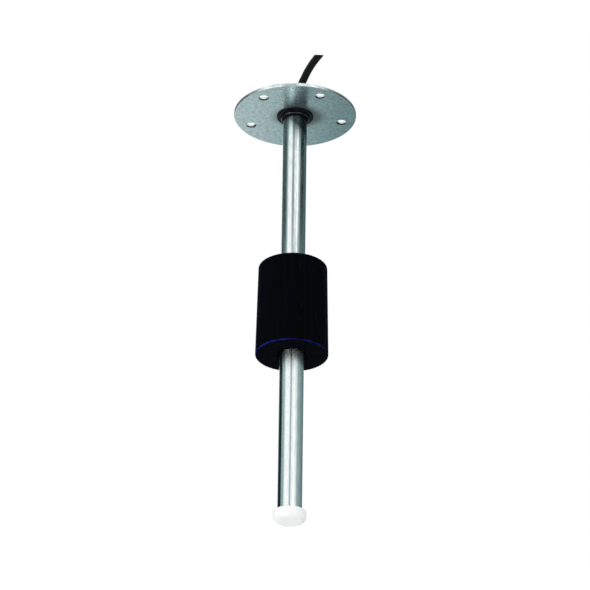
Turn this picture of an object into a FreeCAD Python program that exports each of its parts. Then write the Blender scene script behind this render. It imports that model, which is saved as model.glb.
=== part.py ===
import FreeCAD, Part
import math
import os
import re
import Sketcher

# Float level sensor for a tank: a five-hole flange carries a stem with a row of reed switches inside,
# and a float with a ring magnet slides on the stem.
# The origin is the centre of the flange's underside, +Z points up out of the tank. Millimetres.

SIZES = {
    # Flange
    "flange_diameter": 69.0,
    "flange_thickness": 2.0,
    "flange_edge_round": 0.5,
    "bolt_circle": 54.0,
    "bolt_hole": 5.2,
    "bolt_count": 5,
    # Stem, measured down from the flange's underside and up from its top
    "stem_diameter": 13.5,
    "stem_wall": 1.0,
    "stem_length": 245.4,
    "stem_stub": 1.5,
    # Clearance on the radius of parts that are welded, glued or moulded together
    "fit_gap": 0.05,
    # Stem seal under the flange
    "seal_lip_diameter": 20.5,
    "seal_lip_thickness": 0.9,
    "seal_lip_round": 0.4,
    "seal_hub_diameter": 16.6,
    "seal_hub_round": 1.2,
    "seal_height": 3.3,
    # Float, and its place on the stem at rest
    "float_height": 54.2,
    "float_top_diameter": 38.2,
    "float_base_diameter": 40.3,
    "float_top_round": 1.0,
    "float_base_round": 0.6,
    "float_clearance": 0.9,
    "float_top_break": 0.3,
    "float_base_lead": 0.9,
    "float_depth": 97.0,
    # Ring magnet in the float's bore
    "magnet_diameter": 23.0,
    "magnet_height": 10.0,
    "magnet_recess": 0.2,
    # End cap and its O-ring
    "end_head_diameter": 18.3,
    "end_head_height": 5.5,
    "end_head_round": 3.0,
    "end_head_break": 0.4,
    "end_spigot_length": 12.0,
    "end_spigot_lead": 0.6,
    "end_ring_section": 1.5,
    "end_ring_height": 5.0,
    "end_groove_play": 0.3,
    "end_slot_depth": 4.0,
    # Circuit board
    "board_width": 8.0,
    "board_thickness": 1.0,
    "board_drop": 8.0,
    "board_slot_gap": 0.2,
    # Reed switches
    "reed_glass_diameter": 2.2,
    "reed_glass_length": 14.0,
    "reed_lead_diameter": 0.6,
    "reed_lead_gap": 6.8,
    "reed_count": 8,
    # Resistors
    "resistor_length": 3.6,
    "resistor_body_diameter": 1.3,
    "resistor_end_diameter": 1.5,
    "resistor_end_length": 0.6,
    # Cable and its two cores
    "cable_diameter": 4.3,
    "core_diameter": 1.3,
    "core_spread": 1.9,
    "core_pad_spread": 4.0,
    "core_bend": 3.0,
    "core_straight": 4.6,
    "core_tail": 4.6,
    # Top cap, grommet and potting
    "cap_diameter": 28.0,
    "cap_height": 5.2,
    "cap_wall": 1.6,
    "cap_draft": 0.4,
    "cap_round": 1.5,
    "grommet_neck_diameter": 6.8,
    "grommet_lip_diameter": 9.2,
    "grommet_lip_height": 0.8,
    "grommet_lip_round": 0.4,
    "grommet_flange_thickness": 0.9,
    "potting_depth": 14.0,
}

# Route of the cable's centre line, from its stripped end inside the stem to its free end
CABLE_ROUTE = [
    (0.0, 0.0, 3.4),
    (0.0, 0.0, 10.1),
    (1.5, 0.4, 17.2),
    (4.2, 1.7, 24.4),
    (6.5, 3.7, 31.8),
    (9.4, 6.4, 39.0),
    (12.5, 9.7, 45.7),
]
# Each bend of the cable takes this share of the shorter run beside it
BEND_SHARE = 0.45

doc = FreeCAD.newDocument("TankLevelSensor")
sheet = doc.addObject("Spreadsheet::Sheet", "Sizes")
for row, (name, value) in enumerate(SIZES.items(), start=1):
    sheet.set("A%d" % row, name)
    sheet.set("B%d" % row, str(value))
    sheet.setAlias("B%d" % row, name)
doc.recompute()

sub_parts = []


def cells(text):
    """The expression with each size's name pointed at its cell."""
    def cell(word):
        name = word.group(0)
        return "Sizes." + name if name in SIZES else name

    return re.sub(r"[a-z]\w+", cell, text)


def size(text):
    """What the expression comes to, in millimetres."""
    return float(sheet.evalExpression(cells(text)))


def plane(body, role):
    """The body's own origin plane or axis with that role."""
    return next(feature for feature in body.Origin.OriginFeatures if feature.Role == role)


def new_body(label, height="0"):
    """An empty body whose origin stands at that height above the flange's underside."""
    body = doc.addObject("PartDesign::Body", label)
    body.Label = label
    body.setExpression("Placement.Base.z", cells(height))
    sub_parts.append(body)
    return body


def new_sketch(body, name, role):
    """A sketch on one of the body's origin planes."""
    sketch = body.newObject("Sketcher::SketchObject", name)
    sketch.AttachmentSupport = (plane(body, role), [""])
    sketch.MapMode = "FlatFace"
    return sketch


def bind(sketch, kind, *place_and_size):
    """A dimension of the sketch that follows an expression."""
    *place, text = place_and_size
    number = sketch.addConstraint(Sketcher.Constraint(kind, *place, size(text)))
    sketch.setExpression("Constraints[%d]" % number, cells(text))


def arc_between(start, end, radius):
    """The counter-clockwise arc of that radius from start to end."""
    chord = end - start
    rise = math.sqrt(max(radius ** 2 - (chord.Length / 2) ** 2, 0.0))
    left = FreeCAD.Vector(-chord.y, chord.x, 0).normalize()
    centre = (start + end) * 0.5 + left * rise
    circle = Part.Circle(centre, FreeCAD.Vector(0, 0, 1), radius)
    first = math.atan2(start.y - centre.y, start.x - centre.x)
    last = math.atan2(end.y - centre.y, end.x - centre.x)
    return Part.ArcOfCircle(circle, first, last)


def outline(sketch, corners):
    """A closed counter-clockwise outline. A corner is (across, up), or (across, up, radius) where an
    outward arc of that radius leads on to the next corner."""
    points = [FreeCAD.Vector(size(corner[0]), size(corner[1]), 0) for corner in corners]
    count = len(corners)
    for index, corner in enumerate(corners):
        start = points[index]
        end = points[(index + 1) % count]
        if len(corner) == 3:
            sketch.addGeometry(arc_between(start, end, size(corner[2])), False)
        else:
            sketch.addGeometry(Part.LineSegment(start, end), False)
    for index, corner in enumerate(corners):
        sketch.addConstraint(Sketcher.Constraint("Coincident", index, 2, (index + 1) % count, 1))
        bind(sketch, "DistanceX", -1, 1, index, 1, corner[0])
        bind(sketch, "DistanceY", -1, 1, index, 1, corner[1])
        if len(corner) == 3:
            bind(sketch, "Radius", index, corner[2])


def circle(sketch, across, up, diameter):
    """A circle in the sketch, with its centre at (across, up)."""
    centre = FreeCAD.Vector(size(across), size(up), 0)
    number = sketch.addGeometry(Part.Circle(centre, FreeCAD.Vector(0, 0, 1), size(diameter) / 2), False)
    bind(sketch, "DistanceX", -1, 1, number, 3, across)
    bind(sketch, "DistanceY", -1, 1, number, 3, up)
    bind(sketch, "Diameter", number, diameter)


def turned(label, corners, height="0"):
    """A round piece: the outline of its half section, (radius, height), turned about its own Z axis."""
    body = new_body(label, height)
    sketch = new_sketch(body, label + "_section", "XZ_Plane")
    outline(sketch, corners)
    turn = body.newObject("PartDesign::Revolution", label + "_turn")
    turn.Profile = sketch
    turn.ReferenceAxis = (sketch, ["V_Axis"])
    turn.Angle = 360
    return body


def bored_ring(inner, outer, low, high):
    """Half section of a plain ring."""
    return [(inner, low), (outer, low), (outer, high), (inner, high)]


def rounded_route(points, radius_at):
    """Straight runs through the points, joined at each inner point by a tangent arc of its radius."""
    points = [FreeCAD.Vector(*point) for point in points]
    edges = []
    start = points[0]
    for before, corner, after in zip(points, points[1:], points[2:]):
        back = (before - corner).normalize()
        ahead = (after - corner).normalize()
        half_turn = (math.pi - back.getAngle(ahead)) / 2
        radius = radius_at((corner - before).Length, (after - corner).Length, half_turn)
        reach = radius * math.tan(half_turn)
        arc_start = corner + back * reach
        arc_end = corner + ahead * reach
        towards = (back + ahead).normalize()
        arc_middle = corner + towards * (radius / math.cos(half_turn) - radius)
        edges.append(Part.LineSegment(start, arc_start).toShape())
        edges.append(Part.Arc(arc_start, arc_middle, arc_end).toShape())
        start = arc_end
    edges.append(Part.LineSegment(start, points[-1]).toShape())
    return Part.Wire(edges)


def round_wire(label, path, diameter):
    """A solid of round section carried along a path."""
    run = path.Edges[0]
    start = run.valueAt(run.FirstParameter)
    heading = run.tangentAt(run.FirstParameter)
    section = Part.Wire(Part.Circle(start, heading, diameter / 2).toShape())
    solid = path.makePipeShell([section], True, True)
    wire = doc.addObject("Part::Feature", label)
    wire.Label = label
    wire.Shape = solid
    wire.Placement = FreeCAD.Placement()
    sub_parts.append(wire)
    print("%s: length %.2f, volume over section times length %.5f" % (
        label, path.Length, solid.Volume / (math.pi * diameter ** 2 / 4 * path.Length)))
    return wire


# Flange: stainless disc with rounded edges, bored for the stem, with the bolt holes on their circle
flange = turned("flange", [
    ("stem_diameter / 2 + fit_gap", "0"),
    ("flange_diameter / 2 - flange_edge_round", "0", "flange_edge_round"),
    ("flange_diameter / 2", "flange_edge_round"),
    ("flange_diameter / 2", "flange_thickness - flange_edge_round", "flange_edge_round"),
    ("flange_diameter / 2 - flange_edge_round", "flange_thickness"),
    ("stem_diameter / 2 + fit_gap", "flange_thickness"),
])
hole_sketch = new_sketch(flange, "bolt_hole_circle", "XY_Plane")
circle(hole_sketch, "0", "bolt_circle / 2", "bolt_hole")
bolt_hole = flange.newObject("PartDesign::Pocket", "bolt_hole_cut")
bolt_hole.Profile = hole_sketch
bolt_hole.Type = "ThroughAll"
bolt_hole.Reversed = True
bolt_holes = flange.newObject("PartDesign::PolarPattern", "bolt_holes")
bolt_holes.Originals = [bolt_hole]
bolt_holes.Axis = (plane(flange, "Z_Axis"), [""])
bolt_holes.Angle = 360
bolt_holes.setExpression("Occurrences", cells("bolt_count"))
flange.Tip = bolt_holes

# Stem: stainless tube, welded into the flange with a short stub above it
turned("stem_tube", bored_ring(
    "stem_diameter / 2 - stem_wall", "stem_diameter / 2", "-stem_length", "flange_thickness + stem_stub"))

# Stem seal: rubber ring with a thin lip against the flange and a rounded hub that stops the float
turned("stem_seal", [
    ("stem_diameter / 2 + fit_gap", "-seal_height"),
    ("seal_hub_diameter / 2 - seal_hub_round", "-seal_height", "seal_hub_round"),
    ("seal_hub_diameter / 2", "seal_hub_round - seal_height"),
    ("seal_hub_diameter / 2", "-seal_lip_thickness"),
    ("seal_lip_diameter / 2 - seal_lip_round", "-seal_lip_thickness", "seal_lip_round"),
    ("seal_lip_diameter / 2", "seal_lip_round - seal_lip_thickness"),
    ("seal_lip_diameter / 2", "0"),
    ("stem_diameter / 2 + fit_gap", "0"),
])

# Float: moulded foam with a slight draft, wider at its base, and a pocket for the magnet in its bore
FLOAT_BORE = "stem_diameter / 2 + float_clearance"
POCKET_RADIUS = "magnet_diameter / 2 + fit_gap"
POCKET_TOP = "-(float_height - magnet_height) / 2 + fit_gap"
POCKET_BASE = "-(float_height + magnet_height) / 2 - fit_gap"
turned("float", [
    (FLOAT_BORE + " + float_base_lead", "-float_height"),
    ("float_base_diameter / 2 - float_base_round", "-float_height", "float_base_round"),
    ("float_base_diameter / 2", "float_base_round - float_height"),
    ("float_top_diameter / 2", "-float_top_round", "float_top_round"),
    ("float_top_diameter / 2 - float_top_round", "0"),
    (FLOAT_BORE + " + float_top_break", "0"),
    (FLOAT_BORE, "-float_top_break"),
    (FLOAT_BORE, POCKET_TOP),
    (POCKET_RADIUS, POCKET_TOP),
    (POCKET_RADIUS, POCKET_BASE),
    (FLOAT_BORE, POCKET_BASE),
    (FLOAT_BORE, "float_base_lead - float_height"),
], "-float_depth")

# Ring magnet, flush in the float's pocket and clear of the stem
turned("float_magnet", bored_ring(
    FLOAT_BORE + " + magnet_recess", "magnet_diameter / 2", "-magnet_height / 2", "magnet_height / 2",
), "-float_depth - float_height / 2")

# End cap: white plastic plug. Its head seats on the stem's end and stops the float, and its spigot
# has a groove for the O-ring and a slot for the board's lower end
STEM_BORE = "stem_diameter / 2 - stem_wall"
GROOVE_RADIUS = STEM_BORE + " - end_ring_section - 2 * fit_gap"
GROOVE_LOW = "end_ring_height - end_ring_section / 2 - end_groove_play"
GROOVE_HIGH = "end_ring_height + end_ring_section / 2 + end_groove_play"
end_cap = turned("end_cap", [
    ("0", "-end_head_height"),
    ("end_head_diameter / 2 - end_head_round", "-end_head_height", "end_head_round"),
    ("end_head_diameter / 2", "end_head_round - end_head_height"),
    ("end_head_diameter / 2", "-end_head_break", "end_head_break"),
    ("end_head_diameter / 2 - end_head_break", "0"),
    (STEM_BORE + " - fit_gap", "0"),
    (STEM_BORE + " - fit_gap", GROOVE_LOW),
    (GROOVE_RADIUS, GROOVE_LOW),
    (GROOVE_RADIUS, GROOVE_HIGH),
    (STEM_BORE + " - fit_gap", GROOVE_HIGH),
    (STEM_BORE + " - fit_gap", "end_spigot_length - end_spigot_lead"),
    (STEM_BORE + " - fit_gap - end_spigot_lead", "end_spigot_length"),
    ("0", "end_spigot_length"),
], "-stem_length")
slot_sketch = new_sketch(end_cap, "board_seat_section", "XZ_Plane")
outline(slot_sketch, [
    ("-board_width / 2 - fit_gap", "end_spigot_length - end_slot_depth"),
    ("board_width / 2 + fit_gap", "end_spigot_length - end_slot_depth"),
    ("board_width / 2 + fit_gap", "end_spigot_length + end_spigot_lead"),
    ("-board_width / 2 - fit_gap", "end_spigot_length + end_spigot_lead"),
])
board_seat = end_cap.newObject("PartDesign::Pocket", "board_seat")
board_seat.Profile = slot_sketch
board_seat.SideType = "Symmetric"
board_seat.setExpression("Length", cells("board_thickness + 2 * fit_gap"))

# O-ring in the end cap's groove
end_ring = doc.addObject("Part::Torus", "end_cap_ring")
end_ring.Label = "end_cap_ring"
end_ring.setExpression("Radius1", cells(STEM_BORE + " - fit_gap - end_ring_section / 2"))
end_ring.setExpression("Radius2", cells("end_ring_section / 2"))
end_ring.setExpression("Placement.Base.z", cells("end_ring_height - stem_length"))
sub_parts.append(end_ring)

# Circuit board: a strip from the potting down to the end cap's slot, with a slot for each reed switch.
# The first switch answers to the magnet with the float at its upper stop, the last at its lower stop
FIRST_REED = "seal_height + float_height / 2"
REED_PITCH = "(stem_length - seal_height - float_height) / (reed_count - 1)"
BOARD_END = "stem_length - end_spigot_length + end_slot_depth"
board = new_body("circuit_board", "-board_drop")
board_sketch = new_sketch(board, "board_outline", "XZ_Plane")
outline(board_sketch, [
    ("-board_width / 2", "board_drop - (%s)" % BOARD_END),
    ("board_width / 2", "board_drop - (%s)" % BOARD_END),
    ("board_width / 2", "0"),
    ("-board_width / 2", "0"),
])
strip = board.newObject("PartDesign::Pad", "board_strip")
strip.Profile = board_sketch
strip.SideType = "Symmetric"
strip.setExpression("Length", cells("board_thickness"))
reed_slot_sketch = new_sketch(board, "reed_slot_outline", "XZ_Plane")
SLOT_HALF_WIDTH = "reed_glass_diameter / 2 + board_slot_gap"
SLOT_TOP = "board_drop - (%s) + reed_glass_length / 2 + board_slot_gap" % FIRST_REED
SLOT_BASE = "board_drop - (%s) - reed_glass_length / 2 - board_slot_gap" % FIRST_REED
outline(reed_slot_sketch, [
    ("-(%s)" % SLOT_HALF_WIDTH, SLOT_BASE),
    (SLOT_HALF_WIDTH, SLOT_BASE),
    (SLOT_HALF_WIDTH, SLOT_TOP),
    ("-(%s)" % SLOT_HALF_WIDTH, SLOT_TOP),
])
reed_slot = board.newObject("PartDesign::Pocket", "reed_slot")
reed_slot.Profile = reed_slot_sketch
reed_slot.SideType = "Symmetric"
reed_slot.setExpression("Length", cells("2 * board_thickness"))
reed_slots = board.newObject("PartDesign::LinearPattern", "reed_slots")
reed_slots.Originals = [reed_slot]
reed_slots.Direction = (plane(board, "Z_Axis"), [""])
reed_slots.Reversed = True
reed_slots.Mode = "Spacing"
reed_slots.setExpression("Offset", cells(REED_PITCH))
reed_slots.setExpression("Occurrences", cells("reed_count"))
board.Tip = reed_slots

# Reed switches: glass tubes with a lead at each end, lying in the board's slots on its front
reed_count = int(size("reed_count"))
LEAD_END = "((%s) - reed_lead_gap) / 2" % REED_PITCH
GLASS_END = "(reed_glass_diameter - reed_lead_diameter) / 2"
for index in range(reed_count):
    reed = turned("reed_switch_%d" % (index + 1), [
        ("0", "-(%s)" % LEAD_END),
        ("reed_lead_diameter / 2", "-(%s)" % LEAD_END),
        ("reed_lead_diameter / 2", "-reed_glass_length / 2", GLASS_END),
        ("reed_glass_diameter / 2", "-reed_glass_length / 2 + " + GLASS_END),
        ("reed_glass_diameter / 2", "reed_glass_length / 2 - " + GLASS_END, GLASS_END),
        ("reed_lead_diameter / 2", "reed_glass_length / 2"),
        ("reed_lead_diameter / 2", LEAD_END),
        ("0", LEAD_END),
    ], "-(%s) - %d * (%s)" % (FIRST_REED, index, REED_PITCH))
    reed.setExpression("Placement.Base.y", cells("-(board_thickness + reed_lead_diameter) / 2"))

# Resistors: small barrels with metal ends on the board's back, one between each two reed switches
for index in range(reed_count - 1):
    resistor = turned("resistor_%d" % (index + 1), [
        ("0", "-resistor_length / 2"),
        ("resistor_end_diameter / 2", "-resistor_length / 2"),
        ("resistor_end_diameter / 2", "resistor_end_length - resistor_length / 2"),
        ("resistor_body_diameter / 2", "resistor_end_length - resistor_length / 2"),
        ("resistor_body_diameter / 2", "resistor_length / 2 - resistor_end_length"),
        ("resistor_end_diameter / 2", "resistor_length / 2 - resistor_end_length"),
        ("resistor_end_diameter / 2", "resistor_length / 2"),
        ("0", "resistor_length / 2"),
    ], "-(%s) - %.1f * (%s)" % (FIRST_REED, index + 0.5, REED_PITCH))
    resistor.setExpression("Placement.Base.y", cells("(board_thickness + resistor_end_diameter) / 2"))

# Top cap: low moulded cover on the flange, with a hole for the grommet
CAP_TOP = "flange_thickness + cap_height"
CAP_CAVITY = "cap_diameter / 2 - cap_draft - cap_wall"
OUTLET = "grommet_neck_diameter / 2 + fit_gap"
turned("top_cap", [
    (CAP_CAVITY, "0"),
    ("cap_diameter / 2", "0"),
    ("cap_diameter / 2 - cap_draft", "cap_height - cap_round", "cap_round"),
    ("cap_diameter / 2 - cap_draft - cap_round", "cap_height"),
    (OUTLET, "cap_height"),
    (OUTLET, "cap_height - cap_wall"),
    (CAP_CAVITY, "cap_height - cap_wall"),
], "flange_thickness")

# Grommet: rubber ring that grips the top cap's wall, with the cable through it
CABLE_BORE = "cable_diameter / 2 + fit_gap"
grommet = turned("grommet", [
    (CABLE_BORE, "-cap_wall - fit_gap - grommet_flange_thickness"),
    ("grommet_lip_diameter / 2", "-cap_wall - fit_gap - grommet_flange_thickness"),
    ("grommet_lip_diameter / 2", "-cap_wall - fit_gap"),
    ("grommet_neck_diameter / 2", "-cap_wall - fit_gap"),
    ("grommet_neck_diameter / 2", "fit_gap"),
    ("grommet_lip_diameter / 2", "fit_gap"),
    ("grommet_lip_diameter / 2", "grommet_lip_height - grommet_lip_round", "grommet_lip_round"),
    ("grommet_lip_diameter / 2 - grommet_lip_round", "grommet_lip_height"),
    (CABLE_BORE, "grommet_lip_height"),
], CAP_TOP)

# Cable: up out of the grommet and leaning over to its free end
radii = []


def cable_bend(run_before, run_after, half_turn):
    """The largest radius that the two runs beside a bend leave room for."""
    radius = BEND_SHARE * min(run_before, run_after) / math.tan(half_turn)
    radii.append(round(radius, 1))
    return radius


cable = round_wire("cable", rounded_route(CABLE_ROUTE, cable_bend), size("cable_diameter"))
print("cable: bend radii", radii)

# Cable cores: down from the cable's stripped end, and spread to lie on the board's front
core_top = CABLE_ROUTE[0][2]
core_lay = -size("(board_thickness + core_diameter) / 2 + fit_gap")
cores = []
for number, side in ((1, -1), (2, 1)):
    near = side * size("core_spread") / 2
    far = side * size("core_pad_spread") / 2
    core_route = [
        (near, 0, core_top),
        (near, 0, core_top - size("core_straight")),
        (far, core_lay, size("core_bend / 2 - board_drop")),
        (far, core_lay, size("-board_drop - core_tail")),
    ]
    core_path = rounded_route(core_route, lambda before, after, half_turn: size("core_bend"))
    cores.append(round_wire("cable_core_%d" % number, core_path, size("core_diameter")))

# Potting: resin poured into the stem's top and the top cap, round the board, the cores and the cable
potting_block = turned("potting_block", [
    ("0", "-potting_depth"),
    (STEM_BORE + " - fit_gap", "-potting_depth"),
    (STEM_BORE + " - fit_gap", "flange_thickness + stem_stub + fit_gap"),
    ("stem_diameter / 2 + fit_gap", "flange_thickness + stem_stub + fit_gap"),
    ("stem_diameter / 2 + fit_gap", "flange_thickness + fit_gap"),
    (CAP_CAVITY + " - fit_gap", "flange_thickness + fit_gap"),
    (CAP_CAVITY + " - fit_gap", CAP_TOP + " - cap_wall - fit_gap"),
    ("0", CAP_TOP + " - cap_wall - fit_gap"),
])
sub_parts.remove(potting_block)
potted = doc.addObject("Part::MultiFuse", "potted_parts")
potted.Shapes = [board, grommet, cable] + cores
potting = doc.addObject("Part::Cut", "potting")
potting.Label = "potting"
potting.Base = potting_block
potting.Tool = potted
sub_parts.append(potting)

doc.recompute()

for thing in doc.Objects:
    if "Invalid" in thing.State or "Error" in thing.State:
        raise RuntimeError("%s failed: %s" % (thing.Label, thing.State))
for part in sub_parts:
    if part.Shape.isNull() or not part.Shape.isValid():
        raise RuntimeError("%s has no valid shape" % part.Label)
    if len(part.Shape.Solids) != 1:
        raise RuntimeError("%s is %d solids" % (part.Label, len(part.Shape.Solids)))

os.makedirs("parts", exist_ok=True)
for part in sub_parts:
    part.Shape.exportStep("parts/%s.step" % part.Label)
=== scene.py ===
import bmesh
import bpy
import numpy as np
from mathutils import Matrix, Vector


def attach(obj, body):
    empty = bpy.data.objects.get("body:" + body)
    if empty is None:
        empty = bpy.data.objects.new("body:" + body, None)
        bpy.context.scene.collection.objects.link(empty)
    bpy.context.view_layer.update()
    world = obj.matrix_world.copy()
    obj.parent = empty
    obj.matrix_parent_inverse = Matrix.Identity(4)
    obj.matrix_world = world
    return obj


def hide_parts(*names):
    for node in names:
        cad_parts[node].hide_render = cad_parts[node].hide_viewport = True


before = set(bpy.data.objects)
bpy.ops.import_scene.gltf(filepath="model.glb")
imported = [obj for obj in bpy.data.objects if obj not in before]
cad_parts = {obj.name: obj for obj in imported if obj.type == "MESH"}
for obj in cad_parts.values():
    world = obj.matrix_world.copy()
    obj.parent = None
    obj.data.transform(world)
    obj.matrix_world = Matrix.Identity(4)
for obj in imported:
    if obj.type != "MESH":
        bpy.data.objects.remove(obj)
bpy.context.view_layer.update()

# Flange: a disc of 2 mm stainless sheet with a satin finish. Its rim and its five screw holes are punched,
# which tears the lower part of a hole's wall, and then deburred. The stem is welded into its middle.
MM = 0.001
FLANGE_RADIUS = 34.5
FLANGE_THICKNESS = 2.0
FLANGE_ROUND = 0.5
HOLE_COUNT = 5
HOLE_CIRCLE = 27.0
HOLE_RADIUS = 2.6
HOLE_ROUND = 0.3
TORN_HEIGHT = 0.75
TEAR_EDGE = 0.15
STEM_RADIUS = 6.75
FIT = 0.05
RIM_STEPS = 48
BORE_STEPS = 24
SPOKE_STEPS = 12
CREASE_ANGLE = 32


def edge_arc(across, up, radius, first, last, mark=1.0, count=7):
    """Quarter of a rounded edge: centre plus radius times (cosine, sine) of evenly spaced angles. The third
    number is the edge mark: 1 where metal is rubbed bright, 0 on a plain face and -1 where it is torn,
    which is painted near black, partly as painted shade."""
    angle = np.radians(np.linspace(first, last, count))
    return np.stack([
        across + radius * np.cos(angle), up + radius * np.sin(angle), np.full(count, mark)], -1)


def turned(profile, angle):
    """Profile of (radius, height, edge) carried round the Z axis: the point at an angle has x and y of
    radius times cosine and sine of it, and keeps its height and edge mark."""
    radius, height, edge = (profile[:, column, None] for column in range(3))
    flat = np.zeros_like(angle)
    return np.stack([radius * np.cos(angle), radius * np.sin(angle), height + flat, edge + flat], -1)


def skin(name, patches):
    """One mesh from grids of (x, y, z, edge) points in millimetres. Each cell of a grid is a face, points
    that meet are merged, and a cell that closes to a point on one side becomes a triangle."""
    points = np.concatenate([patch.reshape(-1, 4) for patch in patches])
    cells = []
    first = 0
    for patch in patches:
        rows, columns = patch.shape[:2]
        index = first + np.arange(rows * columns).reshape(rows, columns)
        corners = [index[:-1, :-1], index[:-1, 1:], index[1:, 1:], index[1:, :-1]]
        cells.append(np.stack(corners, -1).reshape(-1, 4))
        first += rows * columns
    # The nudge keeps neat sizes off the rounding's halfway points, and adding zero clears minus zero
    nudge = 3.3e-5
    places = np.round(points[:, :3] + nudge, 4) + 0.0
    _, kept, merged = np.unique(places, axis=0, return_index=True, return_inverse=True)
    cells = merged.reshape(-1)[np.concatenate(cells)]
    doubled = cells == np.roll(cells, -1, axis=1)
    closing = doubled.sum(1) == 1
    triangles = cells[closing][~doubled[closing]].reshape(-1, 3)
    quads = cells[~doubled.any(1)]
    mesh = bpy.data.meshes.new(name)
    mesh.from_pydata(points[kept, :3] * MM, [], quads.tolist() + triangles.tolist())
    mesh.attributes.new("edge", "FLOAT", "POINT").data.foreach_set("value", points[kept, 3])
    shape = bmesh.new()
    shape.from_mesh(mesh)
    bmesh.ops.recalc_face_normals(shape, faces=shape.faces)
    shape.to_mesh(mesh)
    shape.free()
    mesh.polygons.foreach_set("use_smooth", np.ones(len(mesh.polygons), bool))
    mesh.set_sharp_from_angle(angle=np.radians(CREASE_ANGLE))
    piece = bpy.data.objects.new(name, mesh)
    bpy.context.scene.collection.objects.link(piece)
    return piece


def sector_edge():
    """Boundary of a fifth of the flange's flat face, with its hole on +Y: round the rim, in along one
    spoke, back round the bore and out along the other spoke."""
    half = 180.0 / HOLE_COUNT
    rim = np.radians(np.linspace(90 - half, 90 + half, RIM_STEPS + 1))
    bore = np.radians(np.linspace(90 + half, 90 - half, BORE_STEPS + 1))
    inner, outer = STEM_RADIUS + FIT, FLANGE_RADIUS - FLANGE_ROUND
    spoke = np.concatenate([[outer - FLANGE_ROUND], np.linspace(outer, inner, SPOKE_STEPS + 1)[1:-1]])
    angle = np.concatenate([rim, np.full(spoke.size, rim[-1]), bore, np.full(spoke.size, rim[0])])
    radius = np.concatenate([np.full(rim.size, outer), spoke, np.full(bore.size, inner), spoke[::-1]])
    loop = np.stack([radius * np.cos(angle), radius * np.sin(angle)], -1)
    return np.concatenate([loop, loop[:1]])


def fifth_of_flange(turn):
    """Under face, top face and hole of one sector, turned about the Z axis. A face is ruled: straight from
    each point of the hole's edge to the point of the sector's boundary that lies in the same direction
    from the hole's centre."""
    loop = sector_edge()
    centre = np.array([0.0, HOLE_CIRCLE])
    bearing = np.arctan2(*(loop - centre).T[::-1])
    mouth = HOLE_RADIUS + HOLE_ROUND
    hole = centre + mouth * np.stack([np.cos(bearing), np.sin(bearing)], -1)
    share = np.array([0.0, 0.015, 0.06, 0.15, 0.3, 0.5, 0.72, 0.9, 0.985, 1.0])[:, None, None]
    flat = hole + share * (loop - hole)
    under = np.concatenate([flat, np.zeros_like(flat)], -1)
    top = under + [0, 0, FLANGE_THICKNESS, 0]
    wall = np.concatenate([
        edge_arc(mouth, HOLE_ROUND, HOLE_ROUND, 270, 180, mark=-1.0),
        [[HOLE_RADIUS, TORN_HEIGHT, -1], [HOLE_RADIUS, TORN_HEIGHT + TEAR_EDGE, 1]],
        edge_arc(mouth, FLANGE_THICKNESS - HOLE_ROUND, HOLE_ROUND, 180, 90)])
    punched = turned(wall, bearing) + [0, HOLE_CIRCLE, 0, 0]
    cosine, sine = np.cos(turn), np.sin(turn)
    about = np.array([[cosine, sine, 0, 0], [-sine, cosine, 0, 0], [0, 0, 1, 0], [0, 0, 0, 1]])
    return [patch @ about for patch in (under, top, punched)]


rim_profile = np.concatenate([
    edge_arc(FLANGE_RADIUS - FLANGE_ROUND, FLANGE_ROUND, FLANGE_ROUND, 270, 360),
    edge_arc(FLANGE_RADIUS - FLANGE_ROUND, FLANGE_THICKNESS - FLANGE_ROUND, FLANGE_ROUND, 0, 90)])
bore_profile = np.array([[STEM_RADIUS + FIT, 0, 0], [STEM_RADIUS + FIT, FLANGE_THICKNESS, 0]])
flange_patches = [
    turned(rim_profile, np.linspace(0, 2 * np.pi, HOLE_COUNT * RIM_STEPS + 1)),
    turned(bore_profile, np.linspace(0, 2 * np.pi, HOLE_COUNT * BORE_STEPS + 1))]
for number in range(HOLE_COUNT):
    flange_patches += fifth_of_flange(2 * np.pi * number / HOLE_COUNT)
flange = skin("flange_plate", flange_patches)


def add(tree, kind, inputs=(), **settings):
    """A node of that kind in a node tree. A socket given for an input is linked, and a value is set."""
    node = tree.nodes.new(kind)
    for name, value in settings.items():
        setattr(node, name, value)
    for name, value in dict(inputs).items():
        if isinstance(value, bpy.types.NodeSocket):
            tree.links.new(value, node.inputs[name])
        else:
            node.inputs[name].default_value = value
    return node


def reckon(tree, operation, *terms):
    """Result of a Math node. Each term is a number or a socket."""
    return add(tree, "ShaderNodeMath", dict(enumerate(terms)), operation=operation).outputs[0]


def vectors(tree, operation, first, second):
    """Result of a Vector Math node: a number for a distance or a dot product, and otherwise a vector."""
    results = add(tree, "ShaderNodeVectorMath", {0: first, 1: second}, operation=operation).outputs
    return results["Value" if operation in ("DISTANCE", "DOT_PRODUCT") else "Vector"]


def level(tree, value, low, high, start=0.0, end=1.0, **settings):
    """Number that goes from low to high as the value goes from start to end."""
    return add(tree, "ShaderNodeMapRange", {
        "Value": value, "From Min": start, "From Max": end, "To Min": low, "To Max": high},
        **settings).outputs[0]


def object_place(tree):
    """Place on the piece in Object coordinates, in metres."""
    return add(tree, "ShaderNodeTexCoord").outputs["Object"]


def edge_mark(tree):
    """The mesh's own edge mark."""
    return add(tree, "ShaderNodeAttribute", attribute_name="edge").outputs["Fac"]


def new_group(name, inputs, output):
    """An empty shader group with one output. An input is a vector where its value is a tuple, and otherwise
    a number. Gives the group, its inputs and its outputs."""
    group = bpy.data.node_groups.new(name, "ShaderNodeTree")
    for label, value in inputs.items():
        kind = "NodeSocketVector" if isinstance(value, tuple) else "NodeSocketFloat"
        group.interface.new_socket(label, in_out="INPUT", socket_type=kind).default_value = value
    group.interface.new_socket(output, in_out="OUTPUT", socket_type="NodeSocketFloat")
    return group, group.nodes.new("NodeGroupInput").outputs, group.nodes.new("NodeGroupOutput").inputs


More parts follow.
